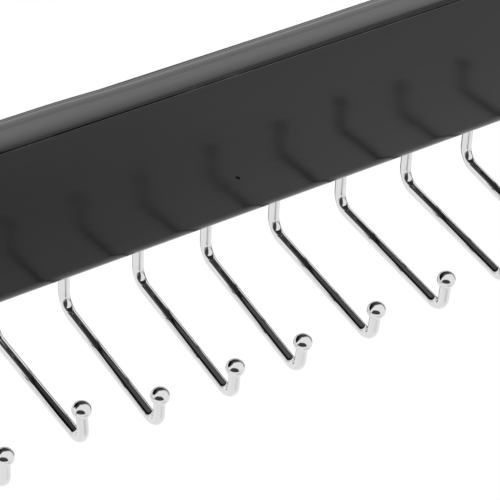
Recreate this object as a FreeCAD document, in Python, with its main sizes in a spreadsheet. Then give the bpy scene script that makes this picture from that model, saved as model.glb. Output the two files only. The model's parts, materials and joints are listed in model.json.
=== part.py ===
import FreeCAD
import Part
import Sketcher
import os
import re
from math import atan2, cos, degrees, radians, sin, tan
from types import SimpleNamespace

# A tie hanger: a black wooden bar that hangs from a swivel hook, with a row of bent wire hooks below it.
# The origin is the inside top of the swivel hook, where it bears on the rail. X runs along the bar, the
# tie hooks point to -Y and Z is up.

# Driving dimensions in millimetres, and in degrees for a turn, droop, lean or angle.
SIZES = {
    # The wooden bar
    "bar_thickness": 12.0,
    "face_height": 49.5,
    "crown_rise": 3.5,
    "crown_step": 0.3,
    "foot_radius": 5.0,
    "end_margin": 16.0,
    # The row of tie hooks
    "hook_count": 20,
    "hook_pitch": 22.0,
    "wire_diameter": 3.0,
    "socket_setback": 2.6,
    "socket_depth": 18.0,
    "socket_clearance": 0.05,
    "stem_drop": 14.5,
    "prong_reach": 50.0,
    "prong_droop": 3.0,
    "tip_rise": 10.9,
    "tip_lean": 3.0,
    "heel_radius": 5.0,
    "toe_radius": 4.5,
    "head_diameter": 5.0,
    "head_crown": 2.3,
    "head_rim": 2.2,
    "head_cove": 0.6,
    # The swivel hook
    "rod_diameter": 3.6,
    "loop_radius": 22.0,
    "loop_angle": 195.0,
    "neck_turn": 70.0,
    "neck_straight": 12.0,
    "point_ease": 1.6,
    "peen_diameter": 6.4,
    "peen_rim": 0.8,
    "peen_height": 2.0,
    # The ferrule in the top of the bar, the washer below it and the bore between them
    "running_clearance": 0.05,
    "bore_clearance": 0.4,
    "flange_diameter": 8.4,
    "flange_height": 3.4,
    "flange_round": 1.4,
    "flange_seat": 2.0,
    "spigot_diameter": 6.0,
    "spigot_length": 14.0,
    "washer_diameter": 7.4,
    "washer_thickness": 0.8,
    "washer_clearance": 0.15,
    "bearing_gap": 0.05,
    "recess_clearance": 0.2,
    "recess_depth": 4.4,
    # How far each cutting profile runs past the wood
    "overrun": 2.0,
}

# Degrees of extra droop, of turn towards +X and of extra outward lean of the tie hooks that were bent
# a little out of true.
HAND_SET = {
    1: (-0.2, 0.4, 0.2),
    2: (-4.7, -0.2, -7.7),
    3: (0.1, -0.3, 0.1),
    4: (0.7, -0.7, 0.1),
    5: (0.7, -1.9, 2.6),
    6: (-0.6, -0.9, 2.5),
    7: (-0.9, 0.1, -1.2),
    8: (-2.4, -1.5, 0.0),
    9: (0.5, -1.1, 0.0),
}
TRUE_SET = (0.0, 0.0, 0.0)

# How far towards +X the drill wandered at some of the sockets, as a share of the pitch.
WANDER_SHARES = {2: 0.029, 3: 0.009, 4: 0.032, 7: 0.006, 8: 0.026}

# Formulas that more than one piece is placed by.
LOOP_LINE = "(loop_radius + rod_diameter / 2)"
NECK_RADIUS = f"({LOOP_LINE} * cos(neck_turn) / (1 - cos(neck_turn)))"
BAR_HEIGHT = "(face_height + crown_rise)"
UNDERSIDE = f"(-(loop_radius + {LOOP_LINE} / tan(neck_turn / 2) + neck_straight + {BAR_HEIGHT}))"
FERRULE_SEAT = f"({BAR_HEIGHT} - flange_seat)"
PEEN_TOP = "(recess_depth - washer_thickness - bearing_gap)"

# How a sketch counts the points of an edge, its own axes and its origin.
START, END, CENTRE = range(1, 4)
X_AXIS, Y_AXIS = range(-1, -3, -1)
ROOT_POINT = (X_AXIS, START)


def from_sheet(formula):
    """Put the sheet's name before each driving dimension that a formula names."""
    return re.sub(r"[a-z_]+", lambda word: f"Sizes.{word[0]}" if word[0] in SIZES else word[0], formula)


def bind(item, place, formula):
    """Hold a property or a dimension of an object to a formula of driving dimensions."""
    item.setExpression(place, from_sheet(formula))


def fill_sheet(doc):
    """Give each driving dimension a cell, and return the values that the cells hold."""
    sheet = doc.addObject("Spreadsheet::Sheet", "Sizes")
    for row, (name, value) in enumerate(SIZES.items(), start=1):
        sheet.set(f"A{row}", name)
        sheet.set(f"B{row}", str(value))
        sheet.setAlias(f"B{row}", name)
    doc.recompute()
    return SimpleNamespace(**{name: float(sheet.get(name)) for name in SIZES})


def new_body(doc, label, height=None):
    """Start a piece, set at a height above the rail seat where a formula gives one."""
    body = doc.addObject("PartDesign::Body", label)
    body.Label = label
    body.Placement = FreeCAD.Placement()
    if height:
        bind(body, "Placement.Base.z", height)
    return body


def origin_part(body, role):
    """Find a plane or an axis of a body's own origin."""
    return next(item for item in body.Origin.OriginFeatures if item.Role == role)


class Outline:
    """A sketch that is drawn near its size and then held by constraints and driving dimensions."""

    def __init__(self, body, name, plane, offset=None):
        self.sketch = body.newObject("Sketcher::SketchObject", name)
        self.sketch.AttachmentSupport = [(origin_part(body, plane), "")]
        self.sketch.MapMode = "FlatFace"
        if offset:
            bind(self.sketch, "AttachmentOffset.Base.z", offset)

    def line(self, start, end):
        """Draw a straight edge between two points."""
        return self.sketch.addGeometry(Part.LineSegment(FreeCAD.Vector(*start), FreeCAD.Vector(*end)))

    def circle(self, centre, radius):
        """Draw a whole circle."""
        return self.sketch.addGeometry(Part.Circle(FreeCAD.Vector(*centre), FreeCAD.Vector(0, 0, 1), radius))

    def arc(self, centre, radius, first, last):
        """Draw an arc that runs anticlockwise from a first to a last angle in degrees."""
        whole = Part.Circle(FreeCAD.Vector(*centre), FreeCAD.Vector(0, 0, 1), radius)
        return self.sketch.addGeometry(Part.ArcOfCircle(whole, radians(first), radians(last)))

    def chain(self, points):
        """Draw straight edges from point to point and back to the first."""
        edges = [self.line(start, end) for start, end in zip(points, points[1:] + points[:1])]
        for edge, following in zip(edges, edges[1:] + edges[:1]):
            self.rule("Coincident", edge, END, following, START)
        return edges

    def rule(self, kind, *where):
        """Add a constraint that has no size."""
        return self.sketch.addConstraint(Sketcher.Constraint(kind, *where))

    def size(self, kind, where, drawn, formula):
        """Add a dimension as it is drawn, then hold it to a formula."""
        index = self.sketch.addConstraint(Sketcher.Constraint(kind, *where, drawn))
        bind(self.sketch, f"Constraints[{index}]", formula)

    def across(self, edge, point, drawn, formula):
        """Hold a point's distance to the right of the sketch's origin."""
        self.size("DistanceX", (*ROOT_POINT, edge, point), drawn, formula)

    def up(self, edge, point, drawn, formula):
        """Hold a point's height above the sketch's origin."""
        self.size("DistanceY", (*ROOT_POINT, edge, point), drawn, formula)


def half_section(body, name, size, offset):
    """Draw the back half of the bar's cross-section, at an offset along the bar."""
    half = size.bar_thickness / 2
    edge = half - size.crown_step
    crown = (edge ** 2 + size.crown_rise ** 2) / (2 * size.crown_rise)
    top = size.face_height + size.crown_rise
    draw = Outline(body, name, "YZ_Plane", offset)
    foot = draw.line((0, 0), (half - size.foot_radius, 0))
    ease = draw.arc((half - size.foot_radius, size.foot_radius), size.foot_radius, -90, 0)
    face = draw.line((half, size.foot_radius), (half, size.face_height))
    step = draw.line((half, size.face_height), (edge, size.face_height))
    rise = draw.arc((0, top - crown), crown, degrees(atan2(crown - size.crown_rise, edge)), 90)
    middle = draw.line((0, top), (0, 0))
    draw.rule("Coincident", foot, START, *ROOT_POINT)
    draw.rule("Horizontal", foot)
    draw.rule("Tangent", foot, END, ease, START)
    draw.rule("Tangent", ease, END, face, START)
    draw.rule("Vertical", face)
    draw.rule("Coincident", face, END, step, START)
    draw.rule("Horizontal", step)
    draw.rule("Coincident", step, END, rise, START)
    draw.rule("Coincident", rise, END, middle, START)
    draw.rule("Coincident", middle, END, foot, START)
    draw.rule("Vertical", middle)
    draw.rule("PointOnObject", rise, CENTRE, Y_AXIS)
    draw.size("Radius", (ease,), size.foot_radius, "foot_radius")
    draw.across(face, END, half, "bar_thickness / 2")
    draw.up(face, END, size.face_height, "face_height")
    draw.across(step, END, edge, "bar_thickness / 2 - crown_step")
    draw.up(rise, END, top, BAR_HEIGHT)
    return draw.sketch


def make_bar(doc, size):
    """Make the wooden bar, with its sockets and the stepped bore for the swivel hook."""
    run = "((hook_count - 1) * hook_pitch + 2 * end_margin - bar_thickness)"
    body = new_body(doc, "bar", UNDERSIDE)
    half = body.newObject("PartDesign::Pad", "bar_back_half")
    half.Profile = half_section(body, "bar_section", size, None)
    half.SideType = "Symmetric"
    bind(half, "Length", run)
    whole = body.newObject("PartDesign::Mirrored", "bar_both_halves")
    whole.Originals = [half]
    whole.MirrorPlane = (origin_part(body, "XZ_Plane"), [""])
    body.Tip = whole
    doc.recompute()
    for name, offset, turned in (("left", f"-{run} / 2", False), ("right", f"{run} / 2", True)):
        section = half_section(body, f"bar_{name}_section", size, offset)
        end = body.newObject("PartDesign::Revolution", f"bar_{name}_end")
        end.Profile = section
        end.ReferenceAxis = (section, ["V_Axis"])
        end.Angle = 180
        end.Reversed = turned
    make_sockets(body, size)
    make_bore(body, size)
    return body


def hook_place(size, number):
    """Find a tie hook's place along the bar, as a length and as a formula."""
    wander_share = WANDER_SHARES.get(number, 0.0)
    place = (number - (size.hook_count + 1) / 2 + wander_share) * size.hook_pitch
    return place, f"({number} - (hook_count + 1) / 2 + {wander_share}) * hook_pitch"


def make_sockets(body, size):
    """Drill the row of blind sockets up into the bar's underside, a little behind its middle."""
    radius = size.wire_diameter / 2 + size.socket_clearance
    draw = Outline(body, "socket_circles", "XY_Plane")
    for number in range(1, int(size.hook_count) + 1):
        place, formula = hook_place(size, number)
        hole = draw.circle((place, size.socket_setback), radius)
        draw.across(hole, CENTRE, place, formula)
        draw.up(hole, CENTRE, size.socket_setback, "socket_setback")
        draw.size("Radius", (hole,), radius, "wire_diameter / 2 + socket_clearance")
    row = body.newObject("PartDesign::Pocket", "socket_row")
    row.Profile = draw.sketch
    row.Reversed = True
    bind(row, "Length", "socket_depth")


def make_bore(body, size):
    """Cut the bore down the middle: ferrule seat, spigot bore, stem bore and washer recess."""
    top = size.face_height + size.crown_rise
    seat = top - size.flange_seat
    steps = [
        (size.washer_diameter / 2 + size.recess_clearance, "washer_diameter / 2 + recess_clearance",
         size.recess_depth, "recess_depth"),
        (size.rod_diameter / 2 + size.bore_clearance, "rod_diameter / 2 + bore_clearance",
         seat - size.spigot_length, f"{FERRULE_SEAT} - spigot_length"),
        (size.spigot_diameter / 2 + size.socket_clearance, "spigot_diameter / 2 + socket_clearance",
         seat, FERRULE_SEAT),
        (size.flange_diameter / 2 + size.recess_clearance, "flange_diameter / 2 + recess_clearance",
         top + size.overrun, f"{BAR_HEIGHT} + overrun"),
    ]
    draw = Outline(body, "bore_section", "XZ_Plane")
    points = [(0, -size.overrun)]
    low = -size.overrun
    for radius, _, height, _ in steps:
        points += [(radius, low), (radius, height)]
        low = height
    points.append((0, low))
    edges = draw.chain(points)
    floor, walls, treads, middle = edges[0], edges[1:-1:2], edges[2:-1:2], edges[-1]
    for tread in (floor, *treads):
        draw.rule("Horizontal", tread)
    for wall in (*walls, middle):
        draw.rule("Vertical", wall)
    draw.rule("PointOnObject", floor, START, Y_AXIS)
    draw.up(floor, START, -size.overrun, "-overrun")
    for wall, (radius, radius_formula, height, height_formula) in zip(walls, steps):
        draw.across(wall, END, radius, radius_formula)
        draw.up(wall, END, height, height_formula)
    bore = body.newObject("PartDesign::Groove", "stepped_bore")
    bore.Profile = draw.sketch
    bore.ReferenceAxis = (draw.sketch, ["V_Axis"])
    bore.Angle = 360


def sweep_wire(body, name, path, edges, diameter, offset, size):
    """Draw a round wire along a path that starts upright at an offset above the body's origin."""
    radius = getattr(size, diameter) / 2
    section = Outline(body, f"{name}_section", "XY_Plane", offset)
    ring = section.circle((0, 0), radius)
    section.rule("Coincident", ring, CENTRE, *ROOT_POINT)
    section.size("Radius", (ring,), radius, f"{diameter} / 2")
    wire = body.newObject("PartDesign::AdditivePipe", name)
    wire.Profile = section.sketch
    wire.Spine = (path, [f"Edge{edge + 1}" for edge in edges])
    return wire


def make_tie_hook(doc, size, number):
    """Make one tie hook: a stem in its socket, a prong to the front, and a tip with an upset head."""
    extra_droop, turn, extra_lean = HAND_SET.get(number, TRUE_SET)
    droop = size.prong_droop + extra_droop
    lean = size.tip_lean + extra_lean
    droop_formula = f"(prong_droop + {extra_droop})"
    lean_formula = f"(tip_lean + {extra_lean})"
    heel_cut = size.heel_radius * tan(radians((90 - droop) / 2))
    heel_formula = f"heel_radius * tan((90 - {droop_formula}) / 2)"
    toe_cut = size.toe_radius * tan(radians((90 + droop - lean) / 2))
    toe_formula = f"toe_radius * tan((90 + {droop_formula} - {lean_formula}) / 2)"
    toe_drop = size.stem_drop + size.prong_reach * tan(radians(droop))
    drop_formula = f"(stem_drop + prong_reach * tan({droop_formula}))"
    place, place_formula = hook_place(size, number)
    body = new_body(doc, f"tie_hook_{number:02d}", UNDERSIDE)
    seat = FreeCAD.Vector(place, size.socket_setback)
    body.Placement = FreeCAD.Placement(seat, FreeCAD.Rotation(FreeCAD.Vector(0, 0, 1), turn))
    bind(body, "Placement.Base.x", place_formula)
    bind(body, "Placement.Base.y", "socket_setback")

    draw = Outline(body, f"{body.Label}_path", "YZ_Plane")
    axis = -size.prong_reach
    ahead = FreeCAD.Vector(-cos(radians(droop)), -sin(radians(droop)))
    upward = FreeCAD.Vector(-sin(radians(lean)), cos(radians(lean)))
    inward = FreeCAD.Vector(cos(radians(lean)), sin(radians(lean)))
    heel_corner = FreeCAD.Vector(0, -size.stem_drop)
    toe_corner = FreeCAD.Vector(axis, -toe_drop)
    heel_top = heel_cut - size.stem_drop
    toe_end = toe_corner + upward * toe_cut
    tip_end = toe_corner + upward * size.tip_rise
    stem = draw.line((0, size.socket_depth), (0, heel_top))
    heel = draw.arc((-size.heel_radius, heel_top), size.heel_radius, droop - 90, 0)
    prong = draw.line(heel_corner + ahead * heel_cut, toe_corner - ahead * toe_cut)
    toe = draw.arc(toe_end + inward * size.toe_radius, size.toe_radius, 180 + lean, 270 + droop)
    tip = draw.line(toe_end, tip_end)
    draw.rule("PointOnObject", stem, START, Y_AXIS)
    draw.rule("Vertical", stem)
    draw.rule("Tangent", stem, END, heel, END)
    draw.rule("Tangent", heel, START, prong, START)
    draw.rule("Tangent", prong, END, toe, END)
    draw.rule("Tangent", toe, START, tip, START)
    draw.up(stem, START, size.socket_depth, "socket_depth")
    draw.up(stem, END, heel_top, f"{heel_formula} - stem_drop")
    draw.size("Radius", (heel,), size.heel_radius, "heel_radius")
    draw.size("Radius", (toe,), size.toe_radius, "toe_radius")
    draw.across(tip, START, toe_end.x, f"-prong_reach - {toe_formula} * sin({lean_formula})")
    draw.up(tip, START, toe_end.y, f"{toe_formula} * cos({lean_formula}) - {drop_formula}")
    head_across = f"-prong_reach - tip_rise * sin({lean_formula})"
    head_up = f"tip_rise * cos({lean_formula}) - {drop_formula}"
    draw.across(tip, END, tip_end.x, head_across)
    draw.up(tip, END, tip_end.y, head_up)
    edges = (stem, heel, prong, toe, tip)
    sweep_wire(body, f"{body.Label}_wire", draw.sketch, edges, "wire_diameter", "socket_depth", size)
    head = make_upset_head(body, size)
    head.AttachmentOffset = FreeCAD.Placement(tip_end, FreeCAD.Rotation(FreeCAD.Vector(0, 0, 1), lean))
    bind(head, "AttachmentOffset.Base.x", head_across)
    bind(head, "AttachmentOffset.Base.y", head_up)
    bind(head, "AttachmentOffset.Rotation.Angle", lean_formula)
    return body


def make_upset_head(body, size):
    """Turn a tie hook's head, with a cove down to the wire, and return its sketch for the tip to carry."""
    rim_line = size.head_diameter / 2 - size.head_rim
    slack = size.head_crown - size.head_rim
    crown = size.head_crown + (rim_line ** 2 - slack ** 2) / (2 * slack)
    cove_line = size.wire_diameter / 2 + size.head_cove
    cove_drop = ((size.head_rim + size.head_cove) ** 2 - (cove_line - rim_line) ** 2) ** 0.5
    rim_top = degrees(atan2(crown - size.head_crown, rim_line))
    cove_turn = degrees(atan2(cove_drop, cove_line - rim_line))
    draw = Outline(body, f"{body.Label}_head_section", "YZ_Plane")
    middle = draw.line((0, -cove_drop), (0, size.head_crown))
    top = draw.arc((0, size.head_crown - crown), crown, rim_top, 90)
    rim = draw.arc((rim_line, 0), size.head_rim, -cove_turn, rim_top)
    cove = draw.arc((cove_line, -cove_drop), size.head_cove, 180 - cove_turn, 180)
    base = draw.line((size.wire_diameter / 2, -cove_drop), (0, -cove_drop))
    draw.rule("PointOnObject", middle, START, Y_AXIS)
    draw.rule("Vertical", middle)
    draw.rule("Coincident", middle, END, top, END)
    draw.rule("PointOnObject", top, CENTRE, Y_AXIS)
    draw.rule("Tangent", top, START, rim, END)
    draw.rule("Tangent", rim, START, cove, START)
    draw.rule("Coincident", cove, END, base, START)
    draw.rule("Horizontal", base)
    draw.rule("Coincident", base, END, middle, START)
    draw.rule("Horizontal", cove, CENTRE, cove, END)
    draw.rule("PointOnObject", rim, CENTRE, X_AXIS)
    draw.up(middle, END, size.head_crown, "head_crown")
    draw.size("Radius", (rim,), size.head_rim, "head_rim")
    draw.across(rim, CENTRE, rim_line, "head_diameter / 2 - head_rim")
    draw.size("Radius", (cove,), size.head_cove, "head_cove")
    draw.across(cove, CENTRE, cove_line, "wire_diameter / 2 + head_cove")
    head = body.newObject("PartDesign::Revolution", f"{body.Label}_head")
    head.Profile = draw.sketch
    head.ReferenceAxis = (draw.sketch, ["V_Axis"])
    head.Angle = 360
    return draw.sketch


def make_swivel_hook(doc, size):
    """Make the hook over the rail: a stem up through the bar, a neck, a loop, and a peened lower end."""
    line = size.loop_radius + size.rod_diameter / 2
    neck = line * cos(radians(size.neck_turn)) / (1 - cos(radians(size.neck_turn)))
    neck_height = -size.loop_radius - line / tan(radians(size.neck_turn / 2))
    underside = neck_height - size.neck_straight - size.crown_rise - size.face_height
    peen_top = underside + size.recess_depth - size.washer_thickness - size.bearing_gap
    stem_end = peen_top - size.peen_rim
    loop_end = line * sin(radians(size.loop_angle)) - size.loop_radius
    peen_formula = f"({UNDERSIDE} + {PEEN_TOP})"
    body = new_body(doc, "swivel_hook")
    draw = Outline(body, "swivel_hook_path", "XZ_Plane")
    stem = draw.line((0, stem_end), (0, neck_height))
    bend = draw.arc((neck, neck_height), neck, 180 - size.neck_turn, 180)
    loop = draw.arc((0, -size.loop_radius), line, -size.neck_turn, size.loop_angle)
    draw.rule("PointOnObject", stem, START, Y_AXIS)
    draw.rule("Vertical", stem)
    draw.rule("Tangent", stem, END, bend, END)
    draw.rule("Tangent", bend, START, loop, START)
    draw.rule("PointOnObject", loop, CENTRE, Y_AXIS)
    draw.up(loop, CENTRE, -size.loop_radius, "-loop_radius")
    draw.size("Radius", (loop,), line, LOOP_LINE)
    draw.size("Radius", (bend,), neck, NECK_RADIUS)
    draw.up(stem, START, stem_end, f"{peen_formula} - peen_rim")
    draw.up(loop, END, loop_end, f"{LOOP_LINE} * sin(loop_angle) - loop_radius")
    edges = (stem, bend, loop)
    start = f"{peen_formula} - peen_rim"
    wire = sweep_wire(body, "swivel_hook_wire", draw.sketch, edges, "rod_diameter", start, size)
    doc.recompute()
    point = FreeCAD.Vector(line * cos(radians(size.loop_angle)), 0, loop_end)
    rims = wire.Shape.Edges
    nearest = min(range(len(rims)), key=lambda i: rims[i].BoundBox.Center.distanceToPoint(point))
    ease = body.newObject("PartDesign::Fillet", "swivel_hook_point")
    ease.Base = (wire, [f"Edge{nearest + 1}"])
    bind(ease, "Radius", "point_ease")
    make_peened_end(body, size, peen_top, peen_formula)
    return body


def make_peened_end(body, size, peen_top, peen_formula):
    """Turn the button that the stem's lower end is peened into, flat above and domed below."""
    stem_end = peen_top - size.peen_rim
    radius = size.peen_diameter / 2
    foot = peen_top - size.peen_height
    cap = Outline(body, "peened_end_section", "XZ_Plane")
    middle = cap.line((0, foot), (0, peen_top))
    top = cap.line((0, peen_top), (radius, peen_top))
    side = cap.line((radius, peen_top), (radius, stem_end))
    sag = size.peen_height - size.peen_rim
    dome_radius = (radius ** 2 + sag ** 2) / (2 * sag)
    dome = cap.arc((0, foot + dome_radius), dome_radius, -90, degrees(atan2(sag - dome_radius, radius)))
    cap.rule("PointOnObject", middle, START, Y_AXIS)
    cap.rule("Vertical", middle)
    cap.rule("Coincident", middle, END, top, START)
    cap.rule("Horizontal", top)
    cap.rule("Coincident", top, END, side, START)
    cap.rule("Vertical", side)
    cap.rule("Coincident", side, END, dome, END)
    cap.rule("Coincident", dome, START, middle, START)
    cap.rule("PointOnObject", dome, CENTRE, Y_AXIS)
    cap.up(middle, START, foot, f"{peen_formula} - peen_height")
    cap.up(top, END, peen_top, peen_formula)
    cap.across(top, END, radius, "peen_diameter / 2")
    cap.up(side, END, stem_end, f"{peen_formula} - peen_rim")
    peen = body.newObject("PartDesign::Revolution", "peened_end")
    peen.Profile = cap.sketch
    peen.ReferenceAxis = (cap.sketch, ["V_Axis"])
    peen.Angle = 360


def make_ferrule(doc, size):
    """Make the flanged bush that the stem turns in, seated in the top of the bar."""
    bore = size.rod_diameter / 2 + size.running_clearance
    bore_formula = "rod_diameter / 2 + running_clearance"
    spigot = size.spigot_diameter / 2
    flange = size.flange_diameter / 2
    seat = size.face_height + size.crown_rise - size.flange_seat
    top = seat + size.flange_height
    shoulder = top - size.flange_round
    body = new_body(doc, "hook_ferrule", UNDERSIDE)
    draw = Outline(body, "hook_ferrule_section", "XZ_Plane")
    inside = draw.line((bore, top), (bore, seat - size.spigot_length))
    foot = draw.line((bore, seat - size.spigot_length), (spigot, seat - size.spigot_length))
    wall = draw.line((spigot, seat - size.spigot_length), (spigot, seat))
    under = draw.line((spigot, seat), (flange, seat))
    rim = draw.line((flange, seat), (flange, shoulder))
    ease = draw.arc((flange - size.flange_round, shoulder), size.flange_round, 0, 90)
    face = draw.line((flange - size.flange_round, top), (bore, top))
    for edge, following in zip((inside, foot, wall, under), (foot, wall, under, rim)):
        draw.rule("Coincident", edge, END, following, START)
    draw.rule("Tangent", rim, END, ease, START)
    draw.rule("Tangent", ease, END, face, START)
    draw.rule("Coincident", face, END, inside, START)
    for edge in (inside, wall, rim):
        draw.rule("Vertical", edge)
    for edge in (foot, under, face):
        draw.rule("Horizontal", edge)
    draw.across(inside, END, bore, bore_formula)
    draw.up(inside, END, seat - size.spigot_length, f"{FERRULE_SEAT} - spigot_length")
    draw.across(wall, END, spigot, "spigot_diameter / 2")
    draw.up(wall, END, seat, FERRULE_SEAT)
    draw.across(under, END, flange, "flange_diameter / 2")
    draw.size("Radius", (ease,), size.flange_round, "flange_round")
    draw.up(inside, START, top, f"{FERRULE_SEAT} + flange_height")
    turned = body.newObject("PartDesign::Revolution", "hook_ferrule_turning")
    turned.Profile = draw.sketch
    turned.ReferenceAxis = (draw.sketch, ["V_Axis"])
    turned.Angle = 360
    return body


def make_washer(doc, size):
    """Make the washer that carries the bar on the peened end of the stem."""
    body = new_body(doc, "thrust_washer", f"{UNDERSIDE} + recess_depth - washer_thickness")
    draw = Outline(body, "thrust_washer_section", "XY_Plane")
    outer = draw.circle((0, 0), size.washer_diameter / 2)
    inner = draw.circle((0, 0), size.rod_diameter / 2 + size.washer_clearance)
    for ring in (outer, inner):
        draw.rule("Coincident", ring, CENTRE, *ROOT_POINT)
    draw.size("Radius", (outer,), size.washer_diameter / 2, "washer_diameter / 2")
    draw.size("Radius", (inner,), size.rod_diameter / 2 + size.washer_clearance,
              "rod_diameter / 2 + washer_clearance")
    plate = body.newObject("PartDesign::Pad", "thrust_washer_plate")
    plate.Profile = draw.sketch
    bind(plate, "Length", "washer_thickness")
    return body


def check(doc, bodies):
    """Stop where an object of the document failed or a piece is not one sound solid."""
    for item in doc.Objects:
        if {"Invalid", "Error"} & set(item.State):
            raise RuntimeError(f"{item.Name} is {item.State}")
    for body in bodies:
        shape = body.Shape
        if shape.isNull() or not shape.isValid() or len(shape.Solids) != 1:
            raise RuntimeError(f"{body.Label} is not one sound solid")


def main():
    """Build every piece of the hanger and write each to its own file."""
    doc = FreeCAD.newDocument("tie_hanger")
    size = fill_sheet(doc)
    bodies = [make(doc, size) for make in (make_bar, make_swivel_hook, make_ferrule, make_washer)]
    bodies += [make_tie_hook(doc, size, number) for number in range(1, int(size.hook_count) + 1)]
    doc.recompute()
    check(doc, bodies)
    os.makedirs("parts", exist_ok=True)
    for body in bodies:
        body.Shape.exportStep(f"parts/{body.Label}.step")
        box = body.Shape.BoundBox
        print(f"{body.Label}: {body.Shape.Volume:.1f} mm3, X {box.XMin:.2f} to {box.XMax:.2f}, "
              f"Y {box.YMin:.2f} to {box.YMax:.2f}, Z {box.ZMin:.2f} to {box.ZMax:.2f}")


main()
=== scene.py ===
"""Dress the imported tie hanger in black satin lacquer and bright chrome, and light it in a plain studio."""

import json
import logging
import math
from dataclasses import dataclass, field
from enum import Enum

import bmesh
import bpy
from mathutils import Matrix, Vector

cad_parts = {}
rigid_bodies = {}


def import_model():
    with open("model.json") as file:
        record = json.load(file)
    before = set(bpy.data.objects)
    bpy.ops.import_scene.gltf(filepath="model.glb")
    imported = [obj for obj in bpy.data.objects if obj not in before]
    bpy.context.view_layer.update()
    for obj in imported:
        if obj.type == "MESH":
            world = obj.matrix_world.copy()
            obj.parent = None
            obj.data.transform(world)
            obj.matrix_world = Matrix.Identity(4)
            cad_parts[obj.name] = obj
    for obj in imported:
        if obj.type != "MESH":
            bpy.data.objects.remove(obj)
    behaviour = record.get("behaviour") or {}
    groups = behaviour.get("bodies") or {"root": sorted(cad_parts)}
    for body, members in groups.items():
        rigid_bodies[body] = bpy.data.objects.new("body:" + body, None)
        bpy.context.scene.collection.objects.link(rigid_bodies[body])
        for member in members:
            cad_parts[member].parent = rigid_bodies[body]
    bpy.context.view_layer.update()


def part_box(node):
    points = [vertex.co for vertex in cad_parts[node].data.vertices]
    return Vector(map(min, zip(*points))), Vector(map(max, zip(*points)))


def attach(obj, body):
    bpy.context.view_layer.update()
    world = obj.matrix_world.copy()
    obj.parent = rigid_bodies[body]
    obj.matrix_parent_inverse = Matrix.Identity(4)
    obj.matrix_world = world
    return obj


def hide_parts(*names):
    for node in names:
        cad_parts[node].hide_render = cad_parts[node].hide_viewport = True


for leftover in list(bpy.data.objects):
    bpy.data.objects.remove(leftover)
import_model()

log = logging.getLogger("tie_hanger")

MM = 0.001
MERGE_GAP = 1e-7
SLIVER = 1e-8
SHARP_ANGLE = 32.0
WIRE_MAP = "wire_map"

Socket = bpy.types.NodeSocket
Colour = tuple[float, float, float]
Place = tuple[float, float, float]
Range = tuple[float, float]
Profile = list[Range]

WHITE: Colour = (1.0, 1.0, 1.0)
RISE: Range = (0.0, 1.0)
FALL: Range = (1.0, 0.0)
PIT_PLACE: Place = (-116.9, -6.0, -105.0)


class Slot(Enum):
    """The record's material slots, one for each finish."""

    LACQUER = "black_lacquered_wood"
    CHROME = "chrome_plate"
    STEEL = "plain_steel"


class Body(Enum):
    """The two bodies that the swivel joins."""

    RAIL_HOOK = "rail_hook"
    TIE_BAR = "tie_bar"


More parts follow.
